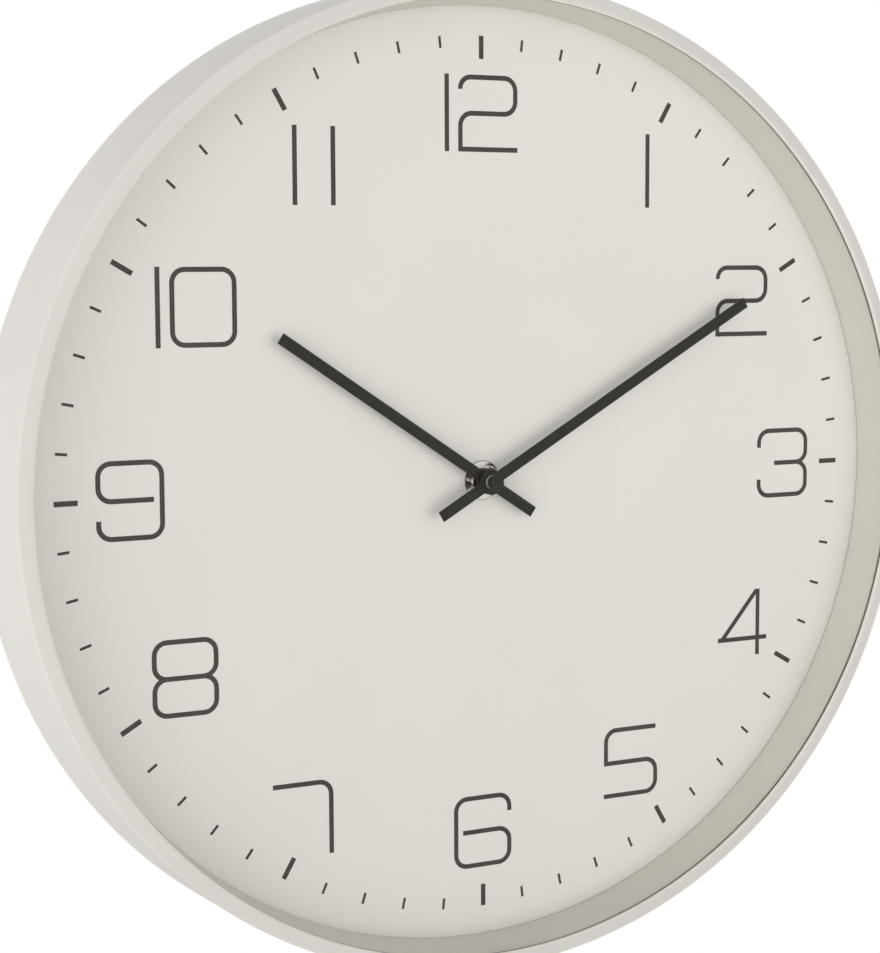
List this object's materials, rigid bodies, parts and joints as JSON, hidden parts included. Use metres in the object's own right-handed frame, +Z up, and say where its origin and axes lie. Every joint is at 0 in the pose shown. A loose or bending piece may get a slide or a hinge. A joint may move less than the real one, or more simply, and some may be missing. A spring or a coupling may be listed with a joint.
{
  "type": "wall clock",
  "caption": "Round analogue wall clock: deep pale metal case with a narrow lip, recessed dial behind flat glass, straight black hands, battery quartz gear movement and keyhole hanger.",
  "frame": {"origin": "on the axis of the hands, in the plane of the wall that the clock hangs on", "axes": "+Z up towards twelve o'clock, +X towards three o'clock, -Y out of the dial to the viewer"},
  "size_m": [0.4, 0.046, 0.4],
  "materials": {
    "case_paint": "matte",
    "dial_paint": "matte",
    "hand_paint": "matte",
    "lens_glass": "gloss",
    "seal_rubber": "matte",
    "back_plastic": "matte",
    "zinc_steel": "satin",
    "nickel_brass": "satin",
    "turned_brass": "satin",
    "movement_plastic": "matte",
    "gear_plastic": "satin",
    "cell_jacket": "satin",
    "contact_spring": "satin",
    "board_laminate": "matte",
    "crystal_can": "satin",
    "chip_resin": "satin",
    "soft_iron": "satin",
    "coil_copper": "satin",
    "magnet_ferrite": "matte"
  },
  "bodies": {
    "clock_case": {"case_shell": "case_paint", "reveal_ring": "case_paint", "dial_plate": "dial_paint", "front_glass": "lens_glass", "lens_gasket": "seal_rubber", "rubber_washer": "seal_rubber", "back_plate": "back_plastic", "case_lugs": "zinc_steel", "back_screws": "zinc_steel", "hanger_plate": "zinc_steel", "hanger_rivets": "zinc_steel", "bush_washer": "nickel_brass", "bush_nut": "nickel_brass", "center_bush": "turned_brass", "movement_case": "movement_plastic", "movement_cover": "movement_plastic", "gear_plate": "gear_plastic", "coil_bobbin": "gear_plastic", "battery": "cell_jacket", "positive_contact": "contact_spring", "negative_contact": "contact_spring", "circuit_board": "board_laminate", "quartz_crystal": "crystal_can", "chip_cover": "chip_resin", "stator": "soft_iron", "coil_core": "soft_iron", "coil_winding": "coil_copper"},
    "minute": {"minute_arbor": "turned_brass", "minute_hand": "hand_paint", "hand_nut": "nickel_brass", "hand_cap": "hand_paint"},
    "hour": {"hour_wheel": "gear_plastic", "hour_hand": "hand_paint"},
    "setting": {"minute_wheel": "gear_plastic", "setting_knob": "movement_plastic"},
    "rotor": {"rotor_pinion": "gear_plastic", "rotor_magnet": "magnet_ferrite"},
    "intermediate": {"intermediate_wheel": "gear_plastic"},
    "seconds": {"seconds_wheel": "gear_plastic"},
    "third": {"third_wheel": "gear_plastic"},
    "center": {"center_wheel": "gear_plastic"}
  },
  "joints": [
    {"name": "minute_turn", "type": "hinge", "parent": "clock_case", "child": "minute", "pos_m": [0, 0, 0], "axis": [0, 1, 0], "continuous": true},
    {"name": "hour_turn", "type": "hinge", "parent": "clock_case", "child": "hour", "pos_m": [0, 0, 0], "axis": [0, 1, 0], "continuous": true},
    {"name": "setting_turn", "type": "hinge", "parent": "clock_case", "child": "setting", "pos_m": [0.01131, 0, 0.0022], "axis": [0, 1, 0], "continuous": true},
    {"name": "rotor_turn", "type": "hinge", "parent": "clock_case", "child": "rotor", "pos_m": [0.01239, 0, 0.01529], "axis": [0, 1, 0], "continuous": true},
    {"name": "intermediate_turn", "type": "hinge", "parent": "clock_case", "child": "intermediate", "pos_m": [0.00294, 0, 0.01695], "axis": [0, 1, 0], "continuous": true},
    {"name": "seconds_turn", "type": "hinge", "parent": "clock_case", "child": "seconds", "pos_m": [-0.00671, 0, 0.01525], "axis": [0, 1, 0], "continuous": true},
    {"name": "third_turn", "type": "hinge", "parent": "clock_case", "child": "third", "pos_m": [-0.00935, 0, 0.0054], "axis": [0, 1, 0], "continuous": true},
    {"name": "center_turn", "type": "hinge", "parent": "clock_case", "child": "center", "pos_m": [0, 0, 0], "axis": [0, 1, 0], "continuous": true}
  ],
  "couplings": [
    {"joint": "hour_turn", "follows": "minute_turn", "ratio": 0.083333},
    {"joint": "setting_turn", "follows": "minute_turn", "ratio": -0.33333},
    {"joint": "intermediate_turn", "follows": "rotor_turn", "ratio": -0.2},
    {"joint": "seconds_turn", "follows": "rotor_turn", "ratio": 0.033333},
    {"joint": "third_turn", "follows": "rotor_turn", "ratio": -0.0044444},
    {"joint": "center_turn", "follows": "rotor_turn", "ratio": 0.00055556}
  ]
}
